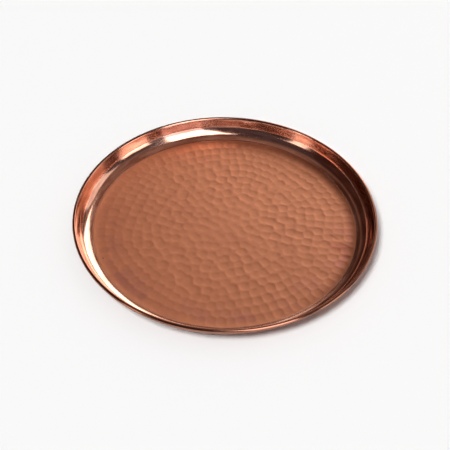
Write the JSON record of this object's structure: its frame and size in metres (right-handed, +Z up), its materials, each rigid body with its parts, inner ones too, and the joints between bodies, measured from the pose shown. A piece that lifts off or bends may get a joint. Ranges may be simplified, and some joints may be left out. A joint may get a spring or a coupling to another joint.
{
  "type": "serving tray",
  "caption": "Round copper serving tray with a hammered floor, a smooth upturned wall and a rim rolled over a wire.",
  "frame": {"origin": "middle of the flat underside, on the surface that the tray stands on", "axes": "+Z up out of the tray, along its axis of turning; +X and +Y lie in the underside, and the rim wire's cut ends face each other at +Y"},
  "size_m": [0.3, 0.3, 0.0192],
  "materials": {
    "copper": "satin hammered floor, polished wall and rim",
    "steel_wire": "drawn wire"
  },
  "bodies": {
    "root": {"tray_pan": "copper", "rim_wire": "steel_wire"}
  },
  "joints": []
}
